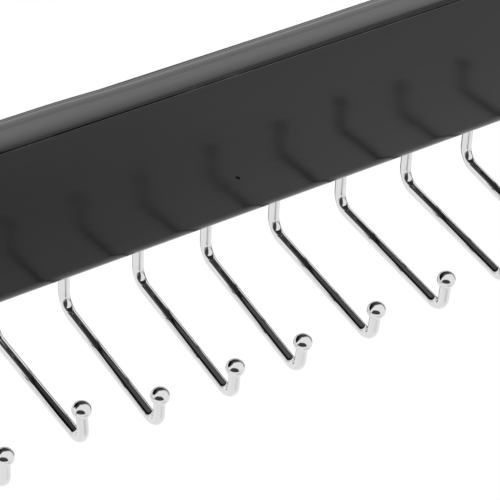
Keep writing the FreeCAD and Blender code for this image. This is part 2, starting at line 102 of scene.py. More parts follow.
class NodeGraph:
    """A node tree that is filled and wired in few words."""

    def __init__(self, tree: bpy.types.NodeTree) -> None:
        """Take over a node tree and empty it."""
        self.tree = tree
        self.tree.nodes.clear()

    def add(self, kind: str, *values: object, **choices: object) -> bpy.types.Node:
        """Add a node.

        Args:
            kind: Blender's name for the node's type.
            values: What its first inputs are fed, in order.
            choices: The node's own settings, by name.

        Returns:
            The new node.
        """
        node = self.tree.nodes.new(kind)
        for name, value in choices.items():
            setattr(node, name, value)
        for socket, value in zip(node.inputs, values):
            self.feed(socket, value)
        return node

    def feed(self, socket: Socket, value: object) -> None:
        """Wire a socket to another one, or set its value.

        Args:
            socket: The input to feed.
            value: An output socket, or a plain value.
        """
        if isinstance(value, Socket):
            self.tree.links.new(value, socket)
        else:
            socket.default_value = value

    def maths(self, operation: str, *values: object) -> Socket:
        """Work out a number from one, two or three others.

        Args:
            operation: Blender's name for the sum.
            values: The numbers or sockets that it takes.

        Returns:
            The result's socket.
        """
        return self.add("ShaderNodeMath", *values, operation=operation).outputs["Value"]

    def stretch(self, vector: Socket, shares: Place) -> Socket:
        """Scale a position along each axis.

        Args:
            vector: The position's socket.
            shares: The scale along each axis.

        Returns:
            The scaled position's socket.
        """
        return self.add("ShaderNodeVectorMath", vector, shares, operation="MULTIPLY").outputs["Vector"]

    def noise(self, vector: Socket, scale: float, detail: float) -> Socket:
        """Sample a noise.

        Args:
            vector: Where it is sampled.
            scale: How many lumps there are to a unit of length.
            detail: How many finer layers it has.

        Returns:
            The noise's socket, from 0 to 1.
        """
        node = self.add("ShaderNodeTexNoise")
        self.feed(node.inputs["Vector"], vector)
        self.feed(node.inputs["Scale"], scale)
        self.feed(node.inputs["Detail"], detail)
        return node.outputs["Fac"]

    def remap(self, value: Socket, source: Range, target: Range, smooth: bool = False) -> Socket:
        """Carry a number from one range to another.

        Args:
            value: The number's socket.
            source: The range that it comes from.
            target: The range that it goes to.
            smooth: Whether the ends of the range are eased.

        Returns:
            The new number's socket.
        """
        curve = "SMOOTHSTEP" if smooth else "LINEAR"
        return self.add("ShaderNodeMapRange", value, *source, *target, interpolation_type=curve).outputs["Result"]

    def blend(self, share: Socket, first: object, second: object) -> Socket:
        """Mix two colours.

        Args:
            share: How much of the second colour there is.
            first: The first colour, or its socket.
            second: The second colour, or its socket.

        Returns:
            The mixed colour's socket.
        """
        node = self.add("ShaderNodeMix", data_type="RGBA")
        self.feed(node.inputs["Factor"], share)
        for socket, colour in zip((node.inputs[6], node.inputs[7]), (first, second)):
            self.feed(socket, (*colour, 1.0) if isinstance(colour, tuple) else colour)
        return node.outputs[2]

    def bump(self, height: Socket, depth: float, under: Socket | None = None) -> Socket:
        """Raise a surface by a height map.

        Args:
            height: The map's socket.
            depth: The height of a full map, in metres.
            under: The normal of a coarser bump below this one.

        Returns:
            The raised surface's normal.
        """
        node = self.add("ShaderNodeBump")
        self.feed(node.inputs["Distance"], depth)
        self.feed(node.inputs["Height"], height)
        if under:
            self.feed(node.inputs["Normal"], under)
        return node.outputs["Normal"]

    def surface(self, colour: Socket, roughness: Socket, normal: Socket, **levels: float) -> None:
        """Close the tree with one shader.

        Args:
            colour: The base colour's socket.
            roughness: The roughness's socket.
            normal: The surface normal's socket.
            levels: Even values, by the shader's input names with _ for a space.
        """
        shader = self.add("ShaderNodeBsdfPrincipled")
        self.feed(shader.inputs["Base Color"], colour)
        self.feed(shader.inputs["Roughness"], roughness)
        self.feed(shader.inputs["Normal"], normal)
        for name, value in levels.items():
            self.feed(shader.inputs[name.replace("_", " ")], value)
        self.add("ShaderNodeOutputMaterial", shader.outputs["BSDF"])


def new_graph(name: str) -> tuple[bpy.types.Material, NodeGraph]:
    """Start a material.

    Args:
        name: The material's name.

    Returns:
        The material and the graph of its nodes.
    """
    material = bpy.data.materials.new(name)
    material.use_nodes = True
    return material, NodeGraph(material.node_tree)


@dataclass(frozen=True)
class SatinLacquer:
    """Black satin lacquer, sprayed on fine-grained wood and rubbed down."""

    deep: Colour = (0.0022, 0.0022, 0.0024)
    thin: Colour = (0.0050, 0.0049, 0.0048)
    rubbed: Colour = (0.030, 0.029, 0.028)
    dust: Colour = (0.085, 0.083, 0.080)
    # pit: painted shade, a near black that darkens the inside of the pit
    pit: Colour = (0.001, 0.001, 0.001)
    specular: float = 0.42
    roughness: Range = (0.13, 0.18)
    patch_scale: float = 26.0
    patch_range: Range = (0.3, 0.7)
    grain_scales: Place = (22.0, 520.0, 520.0)
    grain_range: Range = (0.42, 0.72)
    grain_depth: float = 0.000008
    peel_scale: float = 620.0
    peel_depth: float = 0.000004
    arris_height: float = -0.07149
    arris_reach: float = 0.0006
    wear_scale: float = 85.0
    wear_range: Range = (0.50, 0.72)
    pit_length: float = 0.0016
    pit_edge_share: float = 0.9
    pit_sink_shares: Range = (0.02, 0.08)
    pit_roughness: float = 0.5
    speck_spread: float = 0.014
    speck_radius: float = 0.00011
    speck_core_share: float = 0.6
    speck_limit: float = 0.6

    def material(self) -> bpy.types.Material:
        """Make the material.

        Returns:
            The lacquer, with grain, orange peel, rubbed arrises, a pit darkened with painted shade and specks of
            dust.
        """
        material, graph = new_graph(Slot.LACQUER.value)
        place = graph.add("ShaderNodeTexCoord").outputs["Object"]
        grain = graph.noise(graph.stretch(place, self.grain_scales), 1.0, 3.0)
        peel = graph.noise(place, self.peel_scale, 2.0)
        patches = graph.noise(place, self.patch_scale, 2.0)
        # pit: the mask of painted shade inside the pit, strongest towards its floor
        pit = self._pit_shade(graph, place)
        colour = graph.blend(graph.remap(grain, self.grain_range, RISE), self.deep, self.thin)
        colour = graph.blend(self._rubbed(graph, place), colour, self.rubbed)
        colour = graph.blend(self._specks(graph, place), colour, self.dust)
        # painted shade: the lacquer is darkened to near black inside the pit
        colour = graph.blend(pit, colour, self.pit)
        roughness = graph.remap(patches, self.patch_range, self.roughness)
        roughness = graph.maths("ADD", roughness, graph.maths("MULTIPLY", pit, self.pit_roughness))
        normal = graph.bump(peel, self.peel_depth, graph.bump(grain, self.grain_depth))
        graph.surface(colour, roughness, normal, Specular_IOR_Level=self.specular)
        return material

    def _pit_shade(self, graph: NodeGraph, place: Socket) -> Socket:
        """Mark the painted shade in the small pit in the front face.

        Args:
            graph: The material's graph.
            place: The position's socket.

        Returns:
            A socket for the painted shade, which rises from 0 at the face to 1 deeper in the pit, and is 0
            elsewhere.
        """
        centre = tuple(value * MM for value in PIT_PLACE)
        gap = graph.add("ShaderNodeVectorMath", place, centre, operation="SUBTRACT").outputs["Vector"]
        length = graph.add("ShaderNodeVectorMath", gap, operation="LENGTH").outputs["Value"]
        depth = graph.add("ShaderNodeSeparateXYZ", gap).outputs["Y"]
        sink = tuple(share * self.pit_length for share in self.pit_sink_shares)
        near = graph.remap(length, (self.pit_edge_share * self.pit_length, self.pit_length), FALL)
        return graph.maths("MULTIPLY", near, graph.remap(depth, sink, RISE))

    def _specks(self, graph: NodeGraph, place: Socket) -> Socket:
        """Scatter a few specks of dust that the lacquer has caught.

        Args:
            graph: The material's graph.
            place: The position's socket.

        Returns:
            A socket that is 1 on a speck and 0 elsewhere.
        """
        cells = graph.add("ShaderNodeTexVoronoi")
        graph.feed(cells.inputs["Vector"], graph.stretch(place, (1.0, 0.0, 1.0)))
        graph.feed(cells.inputs["Scale"], 1.0 / self.speck_spread)
        reach = self.speck_radius / self.speck_spread
        near = graph.remap(cells.outputs["Distance"], (self.speck_core_share * reach, reach), FALL, True)
        shade = graph.add("ShaderNodeSeparateColor", cells.outputs["Color"]).outputs["Red"]
        return graph.maths("MULTIPLY", near, graph.maths("GREATER_THAN", shade, self.speck_limit))

    def _rubbed(self, graph: NodeGraph, place: Socket) -> Socket:
        """Mark where handling has thinned the lacquer along the arris.

        Args:
            graph: The material's graph.
            place: The position's socket.

        Returns:
            A socket that is 1 where the lacquer is rubbed and 0 elsewhere.
        """
        height = graph.add("ShaderNodeSeparateXYZ", place).outputs["Z"]
        drop = graph.maths("ABSOLUTE", graph.maths("SUBTRACT", height, self.arris_height))
        near = graph.remap(drop, (0.0, self.arris_reach), FALL, True)
        worn = graph.remap(graph.noise(place, self.wear_scale, 3.0), self.wear_range, RISE, True)
        return graph.maths("MULTIPLY", near, worn)


@dataclass(frozen=True)
class DrawnMetal:
    """Bright metal on drawn wire, with faint marks along the draw."""

    slot: Slot
    bright: Colour
    dull: Colour
    roughness: Range
    mark_depth: float
    mark_scales: Place = (5.0, 5.0, 0.06)
    mark_range: Range = (0.3, 0.7)
    polish_scales: Place = (1.1, 1.1, 0.35)
    polish_range: Range = (0.35, 0.70)

    def material(self) -> bpy.types.Material:
        """Make the material.

        Returns:
            The metal, with draw marks and an uneven polish.
        """
        material, graph = new_graph(self.slot.value)
        where = graph.add("ShaderNodeAttribute", attribute_name=WIRE_MAP).outputs["Vector"]
        marks = graph.noise(graph.stretch(where, self.mark_scales), 1.0, 3.0)
        polish = graph.noise(graph.stretch(where, self.polish_scales), 1.0, 2.0)
        colour = graph.blend(graph.remap(polish, self.polish_range, RISE), self.bright, self.dull)
        roughness = graph.remap(marks, self.mark_range, self.roughness)
        graph.surface(colour, roughness, graph.bump(marks, self.mark_depth), Metallic=1.0)
        return material


CHROME_PLATE = DrawnMetal(Slot.CHROME, bright=(0.76, 0.76, 0.765), dull=(0.71, 0.71, 0.715),
                          roughness=(0.03, 0.06), mark_depth=0.0000006)
PLAIN_STEEL = DrawnMetal(Slot.STEEL, bright=(0.50, 0.50, 0.51), dull=(0.40, 0.40, 0.41),
                         roughness=(0.22, 0.34), mark_depth=0.000003)


@dataclass
class RingSkin:
    """A closed skin that is strung over rings of points, in millimetres."""

    sides: int
    points: list[Vector] = field(default_factory=list)
    marks: list[Vector] = field(default_factory=list)
    faces: list[tuple[int, ...]] = field(default_factory=list)
    last: list[int] = field(default_factory=list)

    def ring(self, middle: Vector, out: Vector, side: Vector, radius: float, along: float) -> None:
        """Add a ring and join it to the last one.

        Args:
            middle: The ring's centre.
            out: A unit vector in the ring's plane.
            side: A unit vector in the ring's plane, square to the first.
            radius: The ring's radius, or zero for a pole.
            along: How far along the piece the ring lies.
        """
        made = []
        turns = self.sides if radius > 0 else 1
        for step in range(turns):
            turn = 2 * math.pi * step / turns
            made.append(len(self.points))
            self.points.append(middle + radius * (math.cos(turn) * out + math.sin(turn) * side))
            self.marks.append(Vector((radius * math.cos(turn), radius * math.sin(turn), along)))
        self.join(self.last, made)
        self.last = made

    def join(self, first: list[int], second: list[int]) -> None:
        """Fill the band between two rings, either of which may be a pole.

        Args:
            first: The points of one ring.
            second: The points of the next.
        """
        for step in range(max(len(first), len(second)) if first else 0):
            corners = [first[step % len(first)], first[(step + 1) % len(first)],
                       second[(step + 1) % len(second)], second[step % len(second)]]
            self.faces.append(tuple(dict.fromkeys(corners)))

    def mesh(self, name: str, matrix: Matrix | None = None) -> bpy.types.Mesh:
        """Turn the skin into a mesh in metres.

        Args:
            name: The mesh's name.
            matrix: Where the skin is set, in millimetres.

        Returns:
            The mesh, with outward faces and smooth shading up to its edges.
        """
        data = bpy.data.meshes.new(name)
        data.from_pydata(self.points, [], self.faces)
        wire_map = data.attributes.new(WIRE_MAP, "FLOAT_VECTOR", "POINT")
        wire_map.data.foreach_set("vector", [value for mark in self.marks for value in mark])
        data.transform(Matrix.Scale(MM, 4) @ (matrix or Matrix.Identity(4)))
        return tidy_mesh(data)


def tidy_mesh(data: bpy.types.Mesh, slivers: bool = False) -> bpy.types.Mesh:
    """Merge double points, turn faces outward and shade a mesh.

    Args:
        data: The mesh, which is changed in place.
        slivers: Whether it may have edges without length to take out.

    Returns:
        The same mesh.
    """
    work = bmesh.new()
    work.from_mesh(data)
    bmesh.ops.remove_doubles(work, verts=work.verts, dist=MERGE_GAP)
    if slivers:
        bmesh.ops.dissolve_degenerate(work, edges=work.edges, dist=SLIVER)
    bmesh.ops.recalc_face_normals(work, faces=work.faces)
    work.to_mesh(data)
    work.free()
    data.shade_smooth()
    data.set_sharp_from_angle(angle=math.radians(SHARP_ANGLE))
    return data


def show(data: bpy.types.Mesh) -> bpy.types.Object:
    """Put a mesh in the scene.

    Args:
        data: The mesh.

    Returns:
        Its new object.
    """
    piece = bpy.data.objects.new(data.name, data)
    bpy.context.scene.collection.objects.link(piece)
    return piece


def settle(piece: bpy.types.Object, node: str, body: Body, finish: bpy.types.Material) -> None:
    """Let a piece stand for a solid, move with its body and take its finish.

    Args:
        piece: The piece.
        node: The solid's name.
        body: The body that carries it.
        finish: The material that it shows.
    """
    piece.data.materials.clear()
    piece.data.materials.append(finish)
    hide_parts(node)
    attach(piece, body.value)
    low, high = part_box(node)
    points = [vertex.co for vertex in piece.data.vertices]
    off = max(max(abs(min(p[axis] for p in points) - low[axis]), abs(max(p[axis] for p in points) - high[axis]))
              for axis in range(3))
    log.info("%s: %d faces, %.3f mm off its solid's box", piece.name, len(piece.data.polygons), off / MM)


def arc(centre: Range, radius: float, first: float, last: float, steps: int) -> Profile:
    """Lay points on an arc.

    Args:
        centre: The arc's centre.
        radius: Its radius.
        first: The angle that it starts at, in degrees.
        last: The angle that it ends at, in degrees.
        steps: How many parts it is divided in.

    Returns:
        The points, both ends among them.
    """
    turns = [math.radians(first + (last - first) * step / steps) for step in range(steps + 1)]
    return [(centre[0] + radius * math.cos(turn), centre[1] + radius * math.sin(turn)) for turn in turns]


def lathe(name: str, outline: Profile, sides: int) -> bpy.types.Mesh:
    """Turn a closed outline about the vertical axis.

    Args:
        name: The mesh's name.
        outline: Distances from the axis and heights, in millimetres.
        sides: How many sides a ring has.

    Returns:
        The turned mesh.
    """
    skin = RingSkin(sides)
    along = 0.0
    first: list[int] = []
    for index, (radius, height) in enumerate(outline):
        along += math.dist(outline[index - 1], (radius, height)) if index else 0.0
        skin.ring(Vector((0, 0, height)), Vector((1, 0, 0)), Vector((0, 1, 0)), radius, along)
        first = first or skin.last
    if len(first) > 1:
        skin.join(skin.last, first)
    return skin.mesh(name)


@dataclass
class HangerFrame:
    """Sizes that more than one piece is placed by, in millimetres."""

    rod: float = 3.6
    loop_radius: float = 22.0
    neck_turn: float = 70.0
    neck_straight: float = 12.0
    bar_height: float = 53.0
    socket_setback: float = 2.6
    socket_depth: float = 18.0

    @property
    def loop_line(self) -> float:
        """The radius of the loop's middle line."""
        return self.loop_radius + self.rod / 2

    @property
    def neck_height(self) -> float:
        """Where the stem begins to bend into the neck."""
        return -self.loop_radius - self.loop_line / math.tan(math.radians(self.neck_turn / 2))

    @property
    def underside(self) -> float:
        """The height of the bar's underside."""
        return self.neck_height - self.neck_straight - self.bar_height


@dataclass
class WoodenBar:
    """The black wooden bar, in millimetres."""

    base: HangerFrame
    thickness: float = 12.0
    length: float = 450.0
    face_height: float = 49.5
    crown_rise: float = 3.5
    crown_step: float = 0.3
    foot_radius: float = 5.0
    worn_arris: float = 0.12
    crisp_arris: float = 0.04
    worn_quirk: Range = (0.30, 0.25)
    crisp_quirk: Range = (0.50, 0.45)
    quirk_share: float = 1 / 3
    crisp_reach: Range = (-178.0, -118.0)
    crown_wave: tuple[Range, ...] = (
        (-225.0, 0.05), (-170.0, 0.0), (-143.0, -1.05), (-124.0, -1.0), (-100.0, -0.78), (-72.0, -0.52),
        (-15.0, 0.0), (60.0, -0.35), (130.0, 0.0), (180.0, -0.25), (225.0, 0.0))
    wave_rise: float = 1.4
    socket_radius: float = 1.55
    bore_steps: tuple[Range, ...] = ((3.9, 4.4), (2.2, 37.0), (3.05, 51.0), (4.4, 55.0))
    overrun: float = 2.0
    pit_size: Place = (1.0, 0.9, 0.32)
    pit_tilt: float = 43.5
    pit_fineness: int = 3
    foot_steps: int = 20
    arris_steps: int = 6
    crown_steps: int = 36
    side_steps: int = 90
    end_steps: int = 24
    bore_sides: int = 64
    socket_sides: int = 40

    def section(self, crisp: float) -> Profile:
        """Draw half of the cross-section from the middle of the foot to the ridge.

        Args:
            crisp: How crisp the arris still is, from 0 for worn to 1 for as cut.

        Returns:
            Distances from the middle plane, and heights above the underside.
        """
        half = self.thickness / 2
        edge = half - self.crown_step
        ease = self.worn_arris + (self.crisp_arris - self.worn_arris) * crisp
        width, depth = (worn + (cut - worn) * crisp for worn, cut in zip(self.worn_quirk, self.crisp_quirk))
        crown = (edge ** 2 + self.crown_rise ** 2) / (2 * self.crown_rise)
        start = math.degrees(math.atan2(crown - self.crown_rise, edge) + width / crown)
        foot = [(0.0, 0.0)]
        foot += arc((half - self.foot_radius, self.foot_radius), self.foot_radius, -90, 0, self.foot_steps)
        arris = arc((half - ease, self.face_height - ease), ease, 0, 90, self.arris_steps)
        quirk = [(edge - width * self.quirk_share, self.face_height - depth)]
        rise = arc((0, self.base.bar_height - crown), crown, start, 90, self.crown_steps)
        return foot + arris + quirk + rise

    def crispness(self, x: float) -> float:
        """Say how crisp the arris is at a place along the bar."""
        share = (x - self.crisp_reach[0]) / (self.crisp_reach[1] - self.crisp_reach[0])
        return 1.0 - min(max(share, 0.0), 1.0)

    def crown_lift(self, x: float, y: float, height: float) -> float:
        """Find how far hand sanding left a point of the crown above its true height, most of all at the back.

        Args:
            x: The place along the bar.
            y: The place across the bar, to the back.
            height: The point's height above the underside.

        Returns:
            The lift, which eases from one measured place to the next.
        """
        rear = ((y + self.thickness / 2) / self.thickness) ** 2
        rise = min(max((height - self.face_height) / self.wave_rise, 0.0), 1.0)
        for (left, low), (right, high) in zip(self.crown_wave, self.crown_wave[1:]):
            if left <= x <= right:
                wave = low + (high - low) * (1 - math.cos(math.pi * (x - left) / (right - left))) / 2
                return wave * rear * rise
        return 0.0

    def skin(self) -> bpy.types.Mesh:
        """Carry the section along both sides and round both ends.

        Returns:
            The uncut bar.
        """
        run = (self.length - self.thickness) / 2
        side = [-run + 2 * run * step / self.side_steps for step in range(self.side_steps + 1)]
        turns = [math.radians(-90 + 180 * step / self.end_steps) for step in range(1, self.end_steps)]
        plan = [(x, 0.0, -1.0) for x in side] + [(run, math.cos(t), math.sin(t)) for t in turns]
        plan += [(x, 0.0, 1.0) for x in reversed(side)] + [(-run, -math.cos(t), -math.sin(t)) for t in turns]
        sections = [self.section(self.crispness(x)) for x, _, _ in plan]
        rows = len(sections[0])
        points: list[Vector] = []
        faces: list[tuple[int, ...]] = []
        for row in range(rows):
            for (x, along, across), section in zip(plan, sections):
                offset, height = section[row]
                y = offset * across
                lift = self.crown_lift(x, y, height)
                points.append(Vector((x + offset * along, y, self.base.underside + height + lift)) * MM)
        count = len(plan)
        for row in range(rows - 1):
            for step in range(count):
                after = (step + 1) % count
                faces.append((row * count + step, row * count + after,
                              (row + 1) * count + after, (row + 1) * count + step))
        data = bpy.data.meshes.new("lacquered_bar")
        data.from_pydata(points, [], faces)
        return tidy_mesh(data, slivers=True)

    def cutter(self, hook_places: list[float]) -> bpy.types.Object:
        """Make the tools that drill the sockets and the stepped bore, and the chip that left the pit.

        Args:
            hook_places: Where the sockets lie along the bar.

        Returns:
            All the tools in one object.
        """
        base = self.base.underside
        outline = [(0.0, base - self.overrun)]
        low = -self.overrun
        for radius, height in self.bore_steps:
            outline += [(radius, base + low), (radius, base + height)]
            low = height
        outline.append((0.0, base + low))
        drill = [(0.0, base - self.overrun), (self.socket_radius, base - self.overrun),
                 (self.socket_radius, base + self.base.socket_depth), (0.0, base + self.base.socket_depth)]
        work = bmesh.new()
        work.from_mesh(lathe("bore_tool", outline, self.bore_sides))
        turn = Matrix.Translation(Vector(PIT_PLACE)) @ Matrix.Rotation(math.radians(self.pit_tilt), 4, "Y")
        chip = Matrix.Scale(MM, 4) @ turn @ Matrix.Diagonal((*self.pit_size, 1.0))
        bmesh.ops.create_icosphere(work, subdivisions=self.pit_fineness, radius=1.0, matrix=chip)
        for place in hook_places:
            tool = lathe("socket_tool", drill, self.socket_sides)
            tool.transform(Matrix.Translation(Vector((place * MM, self.base.socket_setback * MM, 0))))
            work.from_mesh(tool)
        data = bpy.data.meshes.new("drills")
        work.to_mesh(data)
        work.free()
        return show(data)

    def build(self, finish: bpy.types.Material, hook_places: list[float]) -> bpy.types.Object:
        """Make the bar, drill it and dress it.

        Args:
            finish: The lacquer.
            hook_places: Where the sockets lie along the bar.

        Returns:
            The bar.
        """
        piece = show(self.skin())
        tools = self.cutter(hook_places)
        drilling = piece.modifiers.new("drilling", "BOOLEAN")
        drilling.operation = "DIFFERENCE"
        drilling.solver = "EXACT"
        drilling.object = tools
        depsgraph = bpy.context.evaluated_depsgraph_get()
        drilled = bpy.data.meshes.new_from_object(piece.evaluated_get(depsgraph))
        piece.modifiers.clear()
        bpy.data.objects.remove(tools)
        piece.data = tidy_mesh(drilled)
        piece.data.name = piece.name
        settle(piece, "bar", Body.TIE_BAR, finish)
        return piece


@dataclass
class TieHookRow:
    """The row of bent wire hooks below the bar, in millimetres and degrees."""

    base: HangerFrame
    count: int = 20
    pitch: float = 22.0
    wire: float = 3.0
    stem_drop: float = 14.5
    reach: float = 50.0
    droop: float = 3.0
    tip_rise: float = 10.9
    tip_lean: float = 3.0
    heel_radius: float = 5.0
    toe_radius: float = 4.5
    head_diameter: float = 5.0
    head_crown: float = 2.3
    head_rim: float = 2.2
    head_cove: float = 0.6
    sides: int = 48
    bend_steps: int = 24
    cove_steps: int = 8
    rim_steps: int = 26
    crown_steps: int = 6
    hand_set: dict[int, Place] = field(default_factory=lambda: {
        1: (-0.2, 0.4, 0.2), 2: (-4.7, -0.2, -7.7), 3: (0.1, -0.3, 0.1), 4: (0.7, -0.7, 0.1), 5: (0.7, -1.9, 2.6),
        6: (-0.6, -0.9, 2.5), 7: (-0.9, 0.1, -1.2), 8: (-2.4, -1.5, 0.0), 9: (0.5, -1.1, 0.0)})
    wander_shares: dict[int, float] = field(default_factory=lambda: {
        2: 0.029, 3: 0.009, 4: 0.032, 7: 0.006, 8: 0.026})

    def place(self, number: int) -> float:
        """Find a hook's place along the bar."""
        return (number - (self.count + 1) / 2 + self.wander_shares.get(number, 0.0)) * self.pitch

    def toe_drop(self, droop: float) -> float:
        """Find how far below the bar the lines of prong and tip would meet."""
        return self.stem_drop + self.reach * math.tan(math.radians(droop))

    def wire_line(self, droop: float, lean: float) -> list[Place]:
        """Follow the wire's middle line from the socket to the top of the toe bend.

        Args:
            droop: How far the prong droops, in degrees.
            lean: How far the tip leans to the front, in degrees.

        Returns:
            Distance to the front, height above the underside, and heading in degrees below level.
        """
        heel_cut = self.heel_radius * math.tan(math.radians((90 - droop) / 2))
        toe_cut = self.toe_radius * math.tan(math.radians((90 + droop - lean) / 2))
        heel_top = heel_cut - self.stem_drop
        dip = math.radians(droop)
        middle = (self.reach - toe_cut * math.cos(dip) + self.toe_radius * math.sin(dip),
                  toe_cut * math.sin(dip) - self.toe_drop(droop) + self.toe_radius * math.cos(dip))
        line = [(0.0, self.base.socket_depth, 90.0), (0.0, 0.0, 90.0)]
        for step in range(self.bend_steps + 1):
            heading = 90.0 + (droop - 90.0) * step / self.bend_steps
            turn = math.radians(heading)
            line.append((self.heel_radius * (1 - math.sin(turn)),
                         heel_top - self.heel_radius * math.cos(turn), heading))
        for step in range(self.bend_steps + 1):
            heading = droop - (droop + 90.0 - lean) * step / self.bend_steps
            turn = math.radians(heading)
            line.append((middle[0] - self.toe_radius * math.sin(turn),
                         middle[1] - self.toe_radius * math.cos(turn), heading))
        return line

    def head_outline(self) -> Profile:
        """Draw the upset head from the top of the plain wire to its crown.

        Returns:
            Distances from the tip's axis, and heights above the head's widest place.
        """
        rim_line = self.head_diameter / 2 - self.head_rim
        slack = self.head_crown - self.head_rim
        crown = self.head_crown + (rim_line ** 2 - slack ** 2) / (2 * slack)
        cove_line = self.wire / 2 + self.head_cove
        cove_drop = math.sqrt((self.head_rim + self.head_cove) ** 2 - (cove_line - rim_line) ** 2)
        rim_top = math.degrees(math.atan2(crown - self.head_crown, rim_line))
        cove_turn = math.degrees(math.atan2(cove_drop, cove_line - rim_line))
        outline = arc((cove_line, -cove_drop), self.head_cove, 180, 180 - cove_turn, self.cove_steps)
        outline += arc((rim_line, 0), self.head_rim, -cove_turn, rim_top, self.rim_steps)[1:]
        outline += arc((0, self.head_crown - crown), crown, rim_top, 90, self.crown_steps)[1:-1]
        return outline + [(0.0, self.head_crown)]

    def hook_mesh(self, number: int) -> bpy.types.Mesh:
        """Sweep one hook's wire and turn its head.

        Args:
            number: The hook's place in the row, from 1.

        Returns:
            The hook's mesh, in place.
        """
        extra_droop, turn, extra_lean = self.hand_set.get(number, (0.0, 0.0, 0.0))
        droop = self.droop + extra_droop
        lean = self.tip_lean + extra_lean
        line = self.wire_line(droop, lean)
        side = Vector((1, 0, 0))
        skin = RingSkin(self.sides)
        along = 0.0
        skin.ring(Vector((0, 0, self.base.socket_depth)), Vector((0, -1, 0)), side, 0.0, along)
        for index, (front, height, heading) in enumerate(line):
            along += math.dist(line[index - 1][:2], (front, height)) if index else 0.0
            dip = math.radians(heading)
            out = Vector((0, -math.sin(dip), math.cos(dip)))
            skin.ring(Vector((0, -front, height)), out, side, self.wire / 2, along)
        upward = Vector((0, -math.sin(math.radians(lean)), math.cos(math.radians(lean))))
        widest = Vector((0, -self.reach, -self.toe_drop(droop))) + upward * self.tip_rise
        for radius, height in self.head_outline():
            skin.ring(widest + upward * height, out, side, radius, along + height)
        matrix = Matrix.Translation(Vector((self.place(number), self.base.socket_setback, self.base.underside)))
        return skin.mesh(f"wire_hook_{number:02d}", matrix @ Matrix.Rotation(math.radians(turn), 4, "Z"))

    def build(self, finish: bpy.types.Material) -> None:
        """Make and dress every hook, from the left.

        Args:
            finish: The chrome.
        """
        for number in range(1, self.count + 1):
            piece = show(self.hook_mesh(number))
            settle(piece, f"tie_hook_{number:02d}", Body.TIE_BAR, finish)


